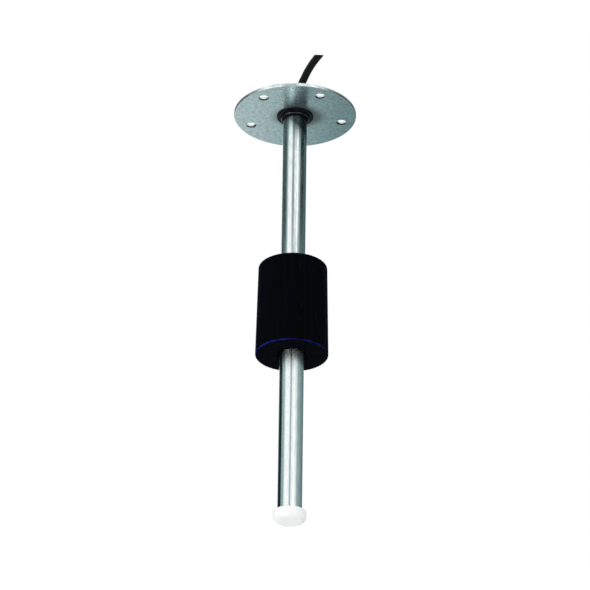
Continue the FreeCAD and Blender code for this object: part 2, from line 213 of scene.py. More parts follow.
# Patches: noise in millimetres of the object, stretched by its own scale on each axis and cut to a mask
TO_MM = (1000.0, 1000.0, 1000.0)
patches_group, given, put_out = new_group(
    "patches", {"Stretch": (1.0, 1.0, 1.0), "Detail": 3.0, "Low": 0.35, "High": 0.65}, "Mask")
in_mm = vectors(patches_group, "MULTIPLY", object_place(patches_group), TO_MM)
drawn_out = vectors(patches_group, "MULTIPLY", in_mm, given["Stretch"])
cloud = add(patches_group, "ShaderNodeTexNoise", {
    "Vector": drawn_out, "Scale": 1.0, "Detail": given["Detail"], "Roughness": 0.6}).outputs[0]
cut = level(patches_group, cloud, 0.0, 1.0, given["Low"], given["High"])
patches_group.links.new(cut, put_out["Mask"])

# Edge rub and highlight: the mesh's own edge mark, broken up by noise, for corners that handling has
# polished and for edges painted lighter as a highlight
rub_and_highlight_group, given, put_out = new_group("edge_rub_and_highlight", {"Amount": 1.0, "Break": 0.4}, "Mask")
cloud = add(rub_and_highlight_group, "ShaderNodeTexNoise", {
    "Vector": object_place(rub_and_highlight_group), "Scale": 260.0, "Detail": 3.0}).outputs[0]
broken = level(rub_and_highlight_group, cloud, 0.0, 1.0, given["Break"], 0.75)
wear_and_highlight = reckon(rub_and_highlight_group, "MULTIPLY", edge_mark(rub_and_highlight_group), broken)
rub_and_highlight_group.links.new(reckon(rub_and_highlight_group, "MULTIPLY", wear_and_highlight, given["Amount"]), put_out["Mask"])


def place(tree, group, inputs):
    """A group placed in a material with its own values. Gives its output."""
    node = tree.nodes.new("ShaderNodeGroup")
    node.node_tree = group
    for name, value in inputs.items():
        node.inputs[name].default_value = value
    return node.outputs[0]


def mixed(tree, mask, low, high):
    """Colour that goes from low to high with the mask. Either may be a colour or a socket."""
    node = add(tree, "ShaderNodeMix", data_type="RGBA")
    for socket, value in ((node.inputs[0], mask), (node.inputs[6], low), (node.inputs[7], high)):
        if isinstance(value, bpy.types.NodeSocket):
            tree.links.new(value, socket)
        else:
            socket.default_value = (*value, 1.0)
    return node.outputs[2]


def relief(tree, height, strength, depth):
    """Normal of a surface whose height varies by that depth in millimetres."""
    return add(tree, "ShaderNodeBump", {
        "Height": height, "Strength": strength, "Distance": depth * MM}).outputs[0]


def finish(name, plain):
    """A material with one Principled BSDF, whose plain sockets are set. Gives the material, its tree and
    the BSDF's inputs."""
    material = bpy.data.materials.new(name)
    material.use_nodes = True
    surface = next(node for node in material.node_tree.nodes if node.type == "BSDF_PRINCIPLED")
    for socket, value in plain.items():
        surface.inputs[socket].default_value = value
    return material, material.node_tree, surface.inputs


flange_steel, tree, surface = finish("flange_steel", {"Metallic": 0.9, "IOR": 2.6})
mottle = place(tree, patches_group, {"Stretch": (0.5, 0.4, 0.5), "Detail": 5.0, "Low": 0.36, "High": 0.64})
rolled = place(tree, patches_group, {"Stretch": (0.06, 2.6, 1.0), "Detail": 4.0, "Low": 0.3, "High": 0.7})
stain = place(tree, patches_group, {"Stretch": (0.07, 0.09, 0.1), "Detail": 2.0, "Low": 0.35, "High": 0.75})
grain = place(tree, patches_group, {"Stretch": (1.4, 1.4, 1.4), "Detail": 3.0, "Low": 0.36, "High": 0.62})
rub_and_highlight = place(tree, rub_and_highlight_group, {"Amount": 1.0, "Break": 0.15})
# Painted shade: the steel is painted dark, and made rougher, in an oval round the seal, off to one side
SEAL_SHADE_MIDDLE = (1.8 * MM, 0.4 * MM, 0.0)
SEAL_SHADE_STRETCH = (0.8, 1.0, 5.0)
SEAL_SHADE_INNER = 7.5
SEAL_SHADE_OUTER = 14.5
oval = vectors(tree, "MULTIPLY", object_place(tree), SEAL_SHADE_STRETCH)
from_seal = vectors(tree, "DISTANCE", oval, SEAL_SHADE_MIDDLE)
seal_shade = level(
    tree, from_seal, 0.0, 0.7, SEAL_SHADE_OUTER * MM, SEAL_SHADE_INNER * MM, interpolation_type="SMOOTHSTEP")
# Partly painted shade: the torn lower part of each hole's wall is painted near black, darker than torn
# steel, as the shade inside the hole
torn_and_shaded = level(tree, edge_mark(tree), 0.0, 1.0, 0.0, -1.0)
sheet_colour = mixed(tree, grain, (0.35, 0.463, 0.471), (0.55, 0.70, 0.708))
sheet_colour = mixed(tree, level(tree, stain, 0.0, 0.4), sheet_colour, (0.37, 0.48, 0.486))
sheet_colour = mixed(tree, level(tree, mottle, 0.0, 0.85), sheet_colour, (0.28, 0.376, 0.384))
sheet_colour = mixed(tree, seal_shade, sheet_colour, (0.045, 0.064, 0.067))
sheet_colour = mixed(tree, torn_and_shaded, sheet_colour, (0.02, 0.028, 0.03))
tree.links.new(mixed(tree, rub_and_highlight, sheet_colour, (0.94, 0.965, 0.965)), surface["Base Color"])
dulled = reckon(tree, "MULTIPLY_ADD", seal_shade, 0.45, level(tree, grain, 0.21, 0.28))
tree.links.new(dulled, surface["Roughness"])
tree.links.new(relief(tree, rolled, 0.08, 0.05), surface["Normal"])
flange.data.materials.append(flange_steel)
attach(flange, "stem_assembly")
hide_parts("flange")

# Stem: a polished stainless tube, drawn, cut square and welded into the flange. The board is inside it,
# and the float slides on it.
STEM_LENGTH = 245.4
STEM_WALL = 1.0
STEM_STUB = 1.5
AROUND = np.linspace(0, 2 * np.pi, 161)


def rounded(corners, closed=True, steps=6):
    """Half section of straight runs, (radius, height, edge), from corners of (radius, height, rounding). A
    corner becomes the tangent arc of its rounding, with an edge mark that swells as a sine to 1 in its
    middle, and a point just before and after it keeps the runs beside it flat. A corner with no rounding
    stays sharp."""
    corners = np.array(corners, float)
    points = corners[:, :2]
    section = []
    runs = zip(np.roll(points, 1, 0), points, np.roll(points, -1, 0), corners[:, 2])
    for before, corner, after, rounding in runs:
        if not rounding:
            section.append([[*corner, 0.0]])
            continue
        back = (before - corner) / np.linalg.norm(before - corner)
        ahead = (after - corner) / np.linalg.norm(after - corner)
        half = np.arccos(back @ ahead) / 2
        inward = (back + ahead) / np.linalg.norm(back + ahead)
        centre = corner + inward * rounding / np.sin(half)
        start = corner + back * rounding / np.tan(half)
        end = corner + ahead * rounding / np.tan(half)
        turn = np.pi - 2 * half
        share = np.linspace(0, 1, steps + 1)[:, None]
        spokes = np.sin((1 - share) * turn) * (start - centre) + np.sin(share * turn) * (end - centre)
        arc = centre + spokes / np.sin(turn)
        hold = 0.25 * rounding
        section.append([[*(start + back * hold), 0.0]])
        section.append(np.concatenate([arc, np.sin(np.pi * share)], 1))
        section.append([[*(end + ahead * hold), 0.0]])
    section = np.concatenate(section)
    return np.concatenate([section, section[:1]]) if closed else section


def turned_piece(name, section):
    """A piece whose half section is carried all the way round the Z axis."""
    return skin(name, [turned(section, AROUND)])


bore = STEM_RADIUS - STEM_WALL
stem_top = FLANGE_THICKNESS + STEM_STUB
stem = turned_piece("stem", rounded([
    (bore, -STEM_LENGTH, 0.12), (STEM_RADIUS, -STEM_LENGTH, 0.2),
    (STEM_RADIUS, stem_top, 0.2), (bore, stem_top, 0.12)]))
stem_steel, tree, surface = finish("stem_steel", {
    "Metallic": 1.0, "IOR": 2.6, "Anisotropic": 1.0, "Anisotropic Rotation": 0.25})
drawn = place(tree, patches_group, {"Stretch": (1.6, 1.6, 0.02), "Detail": 4.0, "Low": 0.32, "High": 0.7})
scuff = place(tree, patches_group, {"Stretch": (0.9, 0.9, 0.16), "Detail": 5.0, "Low": 0.42, "High": 0.68})
rub_and_highlight = place(tree, rub_and_highlight_group, {"Amount": 0.6, "Break": 0.3})
# Painted shade: below the seal the steel is painted dark, lower on one side, fading out downwards
STEM_SHADE_SLANT = (0.9, 0.0, 1.0)
STEM_SHADE_LOW = -20.6
STEM_SHADE_HIGH = -6.6
up_slant = vectors(tree, "DOT_PRODUCT", object_place(tree), STEM_SHADE_SLANT)
stem_shade = reckon(tree, "POWER", level(tree, up_slant, 0.0, 0.96, STEM_SHADE_LOW * MM, STEM_SHADE_HIGH * MM), 2.5)
tube_colour = mixed(tree, drawn, (0.89, 0.94, 0.938), (0.94, 0.975, 0.973))
tube_colour = mixed(tree, scuff, tube_colour, (0.78, 0.84, 0.84))
tube_colour = mixed(tree, stem_shade, tube_colour, (0.03, 0.04, 0.043))
tree.links.new(mixed(tree, rub_and_highlight, tube_colour, (0.92, 0.95, 0.95)), surface["Base Color"])
tree.links.new(level(tree, scuff, 0.18, 0.26), surface["Roughness"])
tree.links.new(relief(tree, drawn, 0.05, 0.02), surface["Normal"])
ground = add(tree, "ShaderNodeTangent", direction_type="RADIAL", axis="Z").outputs[0]
tree.links.new(ground, surface["Tangent"])
stem.data.materials.append(stem_steel)
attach(stem, "stem_assembly")
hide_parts("stem_tube")

# Stem seal: a moulded rubber ring pushed up the stem against the flange. Its thin lip lies on the flange.
# Its stepped hub grips the stem and stops the float, which has polished the step's edge; that edge is also
# painted lighter as a highlight.
SEAL_HEIGHT = 3.3
SEAL_GAP = 0.02
LIP_RADIUS = 10.25
LIP_THICKNESS = 0.9
HUB_RADIUS = 8.1
HUB_HEIGHT = 2.2
NECK_RADIUS = 7.3
seal_bore = STEM_RADIUS + FIT
seal_section = rounded([
    (seal_bore, -SEAL_HEIGHT, 0.1), (NECK_RADIUS, -SEAL_HEIGHT, 0.2), (NECK_RADIUS, -HUB_HEIGHT, 0.2),
    (HUB_RADIUS, -HUB_HEIGHT, 0.5), (HUB_RADIUS, -LIP_THICKNESS, 0.25), (LIP_RADIUS, -LIP_THICKNESS, 0.4),
    (LIP_RADIUS, -SEAL_GAP, 0.15), (seal_bore, -SEAL_GAP, 0.1)])
# Only the hub's step keeps its edge mark: it is glossy there, and painted lighter as a highlight
below_lip = seal_section[:, 1] < -(LIP_THICKNESS + HUB_HEIGHT) / 2
off_neck = seal_section[:, 0] > (NECK_RADIUS + HUB_RADIUS) / 2
seal_section[:, 2] *= below_lip & off_neck
seal = turned_piece("stem_seal_ring", seal_section)

# Pores: rounded cells of a set pitch in millimetres, for the fine texture of rubber, foam and plastic
pores_group, given, put_out = new_group("pores", {"Pitch": 0.3}, "Height")
in_mm = vectors(pores_group, "MULTIPLY", object_place(pores_group), TO_MM)
fineness = reckon(pores_group, "DIVIDE", 1.0, given["Pitch"])
cell = add(pores_group, "ShaderNodeTexVoronoi", {"Vector": in_mm, "Scale": fineness}).outputs["Distance"]
pores_group.links.new(level(pores_group, cell, 0.0, 1.0, 0.15, 0.7), put_out["Height"])


def moulded(name, dark, light, rough, pitch, depth, plain, polish=0.0):
    """Finish of a moulded part: colour that drifts between two tones, edges rubbed towards the lighter (on
    the stem seal's step a painted highlight), and a fine cell texture of that pitch and depth in
    millimetres. Polish is the gloss of rubbed edges."""
    material, tree, surface = finish(name, plain)
    drift = place(tree, patches_group, {"Stretch": (0.22, 0.22, 0.22), "Detail": 4.0})
    rub_and_highlight = place(tree, rub_and_highlight_group, {"Amount": 0.8})
    grain = place(tree, pores_group, {"Pitch": pitch})
    tone = mixed(tree, drift, dark, tuple(0.75 * d + 0.25 * l for d, l in zip(dark, light)))
    tree.links.new(mixed(tree, rub_and_highlight, tone, light), surface["Base Color"])
    tree.links.new(level(tree, drift, *rough), surface["Roughness"])
    tree.links.new(relief(tree, grain, 0.35, depth), surface["Normal"])
    if polish:
        gloss = place(tree, rub_and_highlight_group, {"Amount": polish, "Break": 0.1})
        tree.links.new(gloss, surface["Coat Weight"])
    return material


seal_rubber = moulded(
    "seal_rubber", (0.0025, 0.0034, 0.0042), (0.032, 0.040, 0.045), (0.3, 0.4), 0.14, 0.006,
    {"Specular IOR Level": 0.05, "Coat Roughness": 0.12, "Coat IOR": 2.2}, polish=1.2)
seal.data.materials.append(seal_rubber)
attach(seal, "stem_assembly")
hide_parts("stem_seal")

# Circuit board: a strip of glass-fibre board with green solder mask. Two copper tracks run down its edges,
# and a tinned pad takes the lower lead of each reed switch.
REED_COUNT = 8
FLOAT_HEIGHT = 54.2
REED_PITCH = (STEM_LENGTH - SEAL_HEIGHT - FLOAT_HEIGHT) / (REED_COUNT - 1)
FIRST_REED = SEAL_HEIGHT + FLOAT_HEIGHT / 2
TRACK_OFFSET = 2.9
TRACK_HALF = 0.35
PAD_DROP = 9.2
PAD_MIDDLE = 0.9
PAD_HALF_LENGTH = 0.8
PAD_HALF_WIDTH = 0.9


def piece_axes(tree):
    """X, Y and Z of the place on the piece, in metres."""
    return add(tree, "ShaderNodeSeparateXYZ", {0: object_place(tree)}).outputs


def along_pitch(tree, height, start):
    """Distance up the stem within one pitch of the reed switches, where a pitch starts at that depth below
    the flange."""
    shifted = reckon(tree, "ADD", height, start * MM)
    return reckon(tree, "FLOORED_MODULO", shifted, REED_PITCH * MM)


def dress(name, material):
    """The CAD node of that name keeps its shape and gets the material."""
    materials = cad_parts[name].data.materials
    materials.clear()
    materials.append(material)


board_mask, tree, surface = finish("board", {"Specular IOR Level": 0.5, "Coat Weight": 0.3})
axes = piece_axes(tree)
beside = reckon(tree, "ABSOLUTE", axes["X"])
track = reckon(tree, "COMPARE", beside, TRACK_OFFSET * MM, TRACK_HALF * MM)
along = along_pitch(tree, axes["Z"], FIRST_REED + PAD_DROP)
pad = reckon(tree, "COMPARE", along, PAD_MIDDLE * MM, PAD_HALF_LENGTH * MM)
inside = reckon(tree, "LESS_THAN", beside, PAD_HALF_WIDTH * MM)
soldered = reckon(tree, "MULTIPLY", pad, inside)
weave = place(tree, patches_group, {"Stretch": (3.0, 3.0, 3.0), "Detail": 2.0})
mask_colour = mixed(tree, weave, (0.010, 0.085, 0.030), (0.014, 0.115, 0.042))
mask_colour = mixed(tree, track, mask_colour, (0.03, 0.20, 0.07))
tree.links.new(mixed(tree, soldered, mask_colour, (0.62, 0.62, 0.60)), surface["Base Color"])
tree.links.new(soldered, surface["Metallic"])
tree.links.new(level(tree, weave, 0.3, 0.42), surface["Roughness"])
dress("circuit_board", board_mask)

# Reed switches: two nickel-iron blades sealed in a glass tube, soldered across a slot of the board by
# their leads. The glass is greenish, and a lead shows at each end.
REED_SETBACK = 0.8
LEAD_RADIUS = 0.36
reed_glass, tree, surface = finish("reed_glass", {"IOR": 1.5, "Coat Weight": 0.6, "Coat Roughness": 0.03})
axes = piece_axes(tree)
forward = reckon(tree, "ADD", axes["Y"], REED_SETBACK * MM)
sideways = reckon(tree, "POWER", axes["X"], 2.0)
off_axis = reckon(tree, "MULTIPLY_ADD", forward, forward, sideways)
lead = reckon(tree, "LESS_THAN", off_axis, (LEAD_RADIUS * MM) ** 2)
flow = place(tree, patches_group, {"Stretch": (2.0, 2.0, 0.4), "Detail": 3.0})
glass_colour = mixed(tree, flow, (0.30, 0.44, 0.36), (0.42, 0.56, 0.47))
tree.links.new(mixed(tree, lead, glass_colour, (0.66, 0.65, 0.62)), surface["Base Color"])
tree.links.new(lead, surface["Metallic"])
tree.links.new(level(tree, flow, 0.06, 0.16), surface["Roughness"])
for number in range(1, REED_COUNT + 1):
    dress(f"reed_switch_{number}", reed_glass)

# Resistors: blue lacquered barrels with tinned end caps and colour rings, soldered to the board's back,
# one between each two reed switches.
BARREL_HALF = 1.8
LACQUER_HALF = 1.2
RING_HALF = 0.13
RINGS = ((1.1, (0.30, 0.12, 0.03)), (1.55, (0.02, 0.02, 0.02)), (2.0, (0.45, 0.05, 0.03)))
resistor_lacquer, tree, surface = finish("resistor_lacquer", {"Coat Weight": 0.4})
along = along_pitch(tree, piece_axes(tree)["Z"], FIRST_REED + 0.5 * REED_PITCH + BARREL_HALF)
speckle = place(tree, patches_group, {"Stretch": (4.0, 4.0, 4.0), "Detail": 2.0})
barrel = mixed(tree, speckle, (0.10, 0.25, 0.40), (0.15, 0.33, 0.50))
for middle, ring_colour in RINGS:
    ring = reckon(tree, "COMPARE", along, middle * MM, RING_HALF * MM)
    barrel = mixed(tree, ring, barrel, ring_colour)
off_middle = reckon(tree, "ABSOLUTE", reckon(tree, "SUBTRACT", along, BARREL_HALF * MM))
tinned = reckon(tree, "GREATER_THAN", off_middle, LACQUER_HALF * MM)
tree.links.new(mixed(tree, tinned, barrel, (0.70, 0.70, 0.69)), surface["Base Color"])
tree.links.new(tinned, surface["Metallic"])
tree.links.new(level(tree, speckle, 0.25, 0.35), surface["Roughness"])
for number in range(1, REED_COUNT):
    dress(f"resistor_{number}", resistor_lacquer)

# Cable cores: two stranded copper wires in brown and blue insulation. They run from the cable's stripped
# end down through the potting and are soldered to the board's top.
CORE_BROWN = (0.085, 0.030, 0.012)
CORE_BLUE = (0.012, 0.035, 0.24)
brown_plastic = moulded("core_brown", CORE_BROWN, (0.16, 0.07, 0.035), (0.36, 0.46), 0.2, 0.004, {})
blue_plastic = moulded("core_blue", CORE_BLUE, (0.04, 0.09, 0.36), (0.36, 0.46), 0.2, 0.004, {})
dress("cable_core_1", brown_plastic)
dress("cable_core_2", blue_plastic)

# Potting: black resin poured into the stem's top and the top cap, where it holds the board, the cores
# and the cable.
potting_resin = moulded(
    "potting_resin", (0.008, 0.008, 0.009), (0.022, 0.022, 0.024), (0.12, 0.3), 0.8, 0.01,
    {"Coat Weight": 0.2})
dress("potting", potting_resin)

# Top cap: a low cover moulded in black plastic with a fine spark-eroded grain, glued on the flange by the
# potting under it. A shallow ring is sunk into it round its outlet, which holds the grommet.
CAP_BASE = FLANGE_THICKNESS + 0.02
CAP_TOP = 7.2
CAP_RADIUS = 14.0
CAP_DRAFT = 0.4
CAP_INNER = 12.0
CAP_ROOF = 1.6
SUNK_OUTER = 6.4
SUNK_INNER = 5.0
SUNK_SLOPE = 0.3
SUNK_DEPTH = 0.25
OUTLET_RADIUS = 3.45
ceiling = CAP_TOP - CAP_ROOF
sunk = CAP_TOP - SUNK_DEPTH
cap = turned_piece("top_cap_cover", rounded([
    (CAP_INNER, CAP_BASE, 0.15), (CAP_RADIUS, CAP_BASE, 0.2), (CAP_RADIUS - CAP_DRAFT, CAP_TOP, 1.5),
    (SUNK_OUTER, CAP_TOP, 0.2), (SUNK_OUTER - SUNK_SLOPE, sunk, 0.1), (SUNK_INNER + SUNK_SLOPE, sunk, 0.1),
    (SUNK_INNER, CAP_TOP, 0.2), (OUTLET_RADIUS, CAP_TOP, 0.1), (OUTLET_RADIUS, ceiling, 0.1),
    (CAP_INNER, ceiling, 0.3)]))
cap_plastic = moulded(
    "top_cap_plastic", (0.010, 0.0105, 0.012), (0.030, 0.031, 0.034), (0.42, 0.55), 0.26, 0.03,
    {"Specular IOR Level": 0.4})
cap.data.materials.append(cap_plastic)
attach(cap, "stem_assembly")
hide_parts("top_cap")

# Grommet: a rubber ring snapped into the cap's outlet, with a lip on each side of its wall. The cable is
# a tight fit in it.
CABLE_RADIUS = 2.15
GROMMET_BASE = 4.65
GROMMET_TOP = 8.0
GROMMET_LIP = 4.6
GROMMET_NECK = 3.4
GROMMET_GAP = 0.03
LOWER_LIP_TOP = 5.5
grommet_bore = CABLE_RADIUS + GROMMET_GAP
upper_lip = CAP_TOP + GROMMET_GAP
grommet = turned_piece("cable_grommet", rounded([
    (grommet_bore, GROMMET_BASE, 0.1), (GROMMET_LIP, GROMMET_BASE, 0.2), (GROMMET_LIP, LOWER_LIP_TOP, 0.2),
    (GROMMET_NECK, LOWER_LIP_TOP, 0.1), (GROMMET_NECK, upper_lip, 0.1), (GROMMET_LIP, upper_lip, 0.12),
    (GROMMET_LIP, GROMMET_TOP, 0.45), (grommet_bore, GROMMET_TOP, 0.3)]))
grommet.data.materials.append(seal_rubber)
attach(grommet, "stem_assembly")
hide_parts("grommet")

# Cable: two cores in a round jacket of black plastic. It comes up out of the grommet, leans over by its own
# stiffness and is snipped off at a slant.
CABLE_ROUTE = [
    (0.0, 0.0, 3.4), (0.0, 0.0, 10.1), (1.5, 0.4, 17.2), (4.2, 1.7, 24.4), (6.5, 3.7, 31.8),
    (9.4, 6.4, 39.0), (12.5, 9.7, 45.7)]
SNIPPED = 4.4
JACKET_DARK = (0.0022, 0.0036, 0.004)
JACKET_ROUGH = (0.36, 0.48)
route_end = np.array(CABLE_ROUTE[-1])
last_run = route_end - np.array(CABLE_ROUTE[-2])
heading = last_run / np.linalg.norm(last_run)
jacket_end = route_end - SNIPPED * heading
line = bpy.data.curves.new("cable_line", "CURVE")
line.dimensions = "3D"
line.bevel_depth = CABLE_RADIUS * MM
line.bevel_resolution = 10
line.resolution_u = 24
spline = line.splines.new("NURBS")
spline.points.add(len(CABLE_ROUTE) - 1)
for point, spot in zip(spline.points, CABLE_ROUTE[:-1] + [tuple(jacket_end)]):
    point.co = (*(Vector(spot) * MM), 1.0)
spline.order_u = 3
spline.use_endpoint_u = True
spline.use_smooth = True
cable = bpy.data.objects.new("cable_jacket", line)
bpy.context.scene.collection.objects.link(cable)
jacket = moulded(
    "cable_jacket", JACKET_DARK, (0.008, 0.0105, 0.0115), JACKET_ROUGH, 0.3, 0.008,
    {"Specular IOR Level": 0.05})
line.materials.append(jacket)

# Cable end: the last of the jacket, cut off at a slant with side cutters. The cut shows the jacket's wall,
# the two cores and their bright copper.
CUT_FACING = np.array([0.0415, -0.4592, 0.8873])
CORE_SPREAD = 0.86
CORE_RADIUS = 0.72
CORE_SLOPE = 0.1
COPPER_RADIUS = 0.42
JACKET_BORE = 1.5
BORE_SLOPE = 0.12
DIP_DEPTH = 0.16
RIM_ROUND = 0.12
RIM_ROWS = 5
FACE_INSET = 0.15
FACE_ROWS = 40
SIDE_ROWS = 6
OVERLAP = 0.4
aside = np.cross(heading, CUT_FACING)
aside = aside / np.linalg.norm(aside)
across = np.cross(heading, aside)


def cut_end():
    """Jacket end over rows of (radius, angle), the first ones along its side and the rest over its cut. A
    point of the cut lies along the cable's heading where the cutting plane crosses it, less a rounding at
    the rim and a dip round the cores. The edge mark is the distance from the nearer core's middle."""
    angle = np.linspace(0, 2 * np.pi, 97)
    rim_turn = np.linspace(0, np.pi / 2, RIM_ROWS)[1:]
    radius = np.concatenate([
        np.full(SIDE_ROWS, CABLE_RADIUS), CABLE_RADIUS - RIM_ROUND * (1 - np.cos(rim_turn)),
        np.linspace(CABLE_RADIUS - FACE_INSET, 0, FACE_ROWS)])[:, None]
    side = radius * np.cos(angle)
    rise = radius * np.sin(angle)
    ring = side[..., None] * aside + rise[..., None] * across
    plane = -(ring @ CUT_FACING) / (heading @ CUT_FACING)
    core = np.minimum(np.hypot(side - CORE_SPREAD, rise), np.hypot(side + CORE_SPREAD, rise))
    off_core = np.clip((core - CORE_RADIUS) / CORE_SLOPE, 0, 1)
    in_bore = np.clip((JACKET_BORE - radius) / BORE_SLOPE, 0, 1)
    over_rim = np.clip((radius - CABLE_RADIUS + RIM_ROUND) / RIM_ROUND, 0, 1)
    lowered = DIP_DEPTH * off_core * in_bore + RIM_ROUND * (1 - np.sqrt(1 - over_rim ** 2))
    start = -SNIPPED - OVERLAP
    share = np.linspace(0, 1, SIDE_ROWS)[:, None]
    reach = np.concatenate([
        start + share * (plane[:SIDE_ROWS] - RIM_ROUND - start), (plane - lowered)[SIDE_ROWS:]])
    spot = route_end + ring + reach[..., None] * heading
    return np.concatenate([spot, core[..., None]], -1)


cable_end = skin("cable_cut_end", [cut_end()])
end_finish, tree, surface = finish("cable_cut", {"Specular IOR Level": 0.05})
from_core = edge_mark(tree)
in_core = reckon(tree, "LESS_THAN", from_core, CORE_RADIUS)
in_copper = reckon(tree, "LESS_THAN", from_core, COPPER_RADIUS)
from_end = vectors(tree, "SUBTRACT", object_place(tree), tuple(route_end * MM))
sideways = vectors(tree, "DOT_PRODUCT", from_end, tuple(aside))
second = reckon(tree, "GREATER_THAN", sideways, 0.0)
speckle = place(tree, patches_group, {"Stretch": (5.0, 5.0, 5.0), "Detail": 3.0})
jacket_tone = mixed(tree, speckle, JACKET_DARK, (0.0037, 0.0053, 0.0059))
core_tone = mixed(tree, second, CORE_BROWN, CORE_BLUE)
core_tone = mixed(tree, in_core, jacket_tone, core_tone)
tree.links.new(mixed(tree, in_copper, core_tone, (0.72, 0.36, 0.20)), surface["Base Color"])
tree.links.new(in_copper, surface["Metallic"])
tree.links.new(level(tree, speckle, *JACKET_ROUGH), surface["Roughness"])
cable_end.data.materials.append(end_finish)
for piece in (cable, cable_end):
    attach(piece, "stem_assembly")
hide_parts("cable")

# End cap: a plug turned from white plastic. Its spigot with the O-ring is pressed into the stem, and its
# domed head stops the float.
HEAD_RADIUS = 9.15
HEAD_HEIGHT = 5.5
HEAD_ROUND = 3.0
SPIGOT_LENGTH = 8.0
GROOVE_LOW = 3.95
GROOVE_HIGH = 6.05
GROOVE_DEPTH = 1.55
spigot = bore - FIT
groove = spigot - GROOVE_DEPTH
plug_section = rounded([
    (0.0, -HEAD_HEIGHT, 0.0), (HEAD_RADIUS, -HEAD_HEIGHT, HEAD_ROUND), (HEAD_RADIUS, 0.0, 0.4),
    (spigot, 0.0, 0.1), (spigot, GROOVE_LOW, 0.1), (groove, GROOVE_LOW, 0.1), (groove, GROOVE_HIGH, 0.1),
    (spigot, GROOVE_HIGH, 0.1), (spigot, SPIGOT_LENGTH, 0.3), (0.0, SPIGOT_LENGTH, 0.0),
], closed=False, steps=9)
plug_section[:, 1] -= STEM_LENGTH
end_cap = turned_piece("end_plug", plug_section)
cap_white = moulded(
    "end_cap_plastic", (0.90, 0.91, 0.905), (0.95, 0.955, 0.95), (0.32, 0.42), 0.5, 0.004,
    {"Specular IOR Level": 0.4, "Subsurface Weight": 0.15, "Subsurface Scale": 0.002,
     "Subsurface Radius": (1.0, 1.0, 1.0)})
end_cap.data.materials.append(cap_white)
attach(end_cap, "stem_assembly")
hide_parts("end_cap")

# O-ring of the end cap: a ring of soft black rubber in the spigot's groove. It is squeezed against the
# stem's bore and keeps the liquid out of the stem.
dress("end_cap_ring", seal_rubber)

# Float magnet: a ring of sintered ferrite, dark grey and faintly speckled. It is glued into the float's
# bore and closes the reed switches that it passes.
ferrite = moulded(
    "magnet_ferrite", (0.030, 0.030, 0.033), (0.085, 0.085, 0.09), (0.55, 0.7), 0.2, 0.012, {})
dress("float_magnet", ferrite)

# Float: closed-cell rubber foam moulded with a slight draft, blue-black, with a crisp lower edge that is
# painted with a blue highlight. The magnet sits in a pocket of its bore, and it slides on the stem.
FLOAT_TOP = -97.0
FLOAT_BASE = FLOAT_TOP - FLOAT_HEIGHT
FLOAT_TOP_RADIUS = 19.1
FLOAT_BASE_RADIUS = 20.15
FLOAT_BORE = STEM_RADIUS + 0.9
BASE_LEAD = 0.9
TOP_BREAK = 0.3
POCKET_RADIUS = 11.55
POCKET_HALF = 5.05
float_middle = (FLOAT_TOP + FLOAT_BASE) / 2
pocket_top = float_middle + POCKET_HALF
pocket_base = float_middle - POCKET_HALF
float_section = rounded([
    (FLOAT_BORE + BASE_LEAD, FLOAT_BASE, 0.25), (FLOAT_BASE_RADIUS, FLOAT_BASE, 0.6),
    (FLOAT_TOP_RADIUS, FLOAT_TOP, 1.0), (FLOAT_BORE + TOP_BREAK, FLOAT_TOP, 0.2),
    (FLOAT_BORE, FLOAT_TOP - 2 * TOP_BREAK, 0.2), (FLOAT_BORE, pocket_top, 0.0),
    (POCKET_RADIUS, pocket_top, 0.0), (POCKET_RADIUS, pocket_base, 0.0), (FLOAT_BORE, pocket_base, 0.0),
    (FLOAT_BORE, FLOAT_BASE + BASE_LEAD, 0.2)], steps=8)
float_section[:, 2] *= float_section[:, 0] > POCKET_RADIUS
float_skin = turned_piece("float_body", float_section)
float_foam, tree, surface = finish("float_foam", {
    "Specular IOR Level": 0.05, "IOR": 1.2, "Sheen Weight": 0.03, "Sheen Roughness": 0.3,
    "Sheen Tint": (0.15, 0.2, 1.0, 1.0)})
run = place(tree, patches_group, {"Stretch": (0.5, 0.5, 0.008), "Detail": 3.0, "Low": 0.4, "High": 0.75})
scrape = place(tree, patches_group, {"Stretch": (0.9, 0.9, 0.12), "Detail": 6.0, "Low": 0.62, "High": 0.78})
highlight_breakup = place(tree, patches_group, {
    "Stretch": (0.055, 0.055, 0.055), "Detail": 2.0, "Low": 0.35, "High": 0.6})
pits = place(tree, pores_group, {"Pitch": 0.35})
rub_and_highlight = place(tree, rub_and_highlight_group, {"Amount": 1.2, "Break": 0.26})
# Painted highlight: the outer edges are painted blue, the lower edge most, and more in some places than in
# others
from_top = level(tree, piece_axes(tree)["Z"], 0.25, 1.0, FLOAT_TOP * MM, FLOAT_BASE * MM)
wear_and_highlight = reckon(tree, "MULTIPLY", rub_and_highlight, from_top)
wear_and_highlight = reckon(tree, "MULTIPLY", wear_and_highlight, level(tree, highlight_breakup, 0.25, 1.0))
foam_colour = mixed(tree, run, (0.0012, 0.0015, 0.0017), (0.0022, 0.0027, 0.0060))
foam_colour = mixed(tree, scrape, foam_colour, (0.008, 0.009, 0.013))
tree.links.new(mixed(tree, wear_and_highlight, foam_colour, (0.010, 0.020, 0.24)), surface["Base Color"])
tree.links.new(level(tree, pits, 0.62, 0.8), surface["Roughness"])
tree.links.new(relief(tree, pits, 0.4, 0.03), surface["Normal"])
float_skin.data.materials.append(float_foam)
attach(float_skin, "float_assembly")
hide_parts("float")

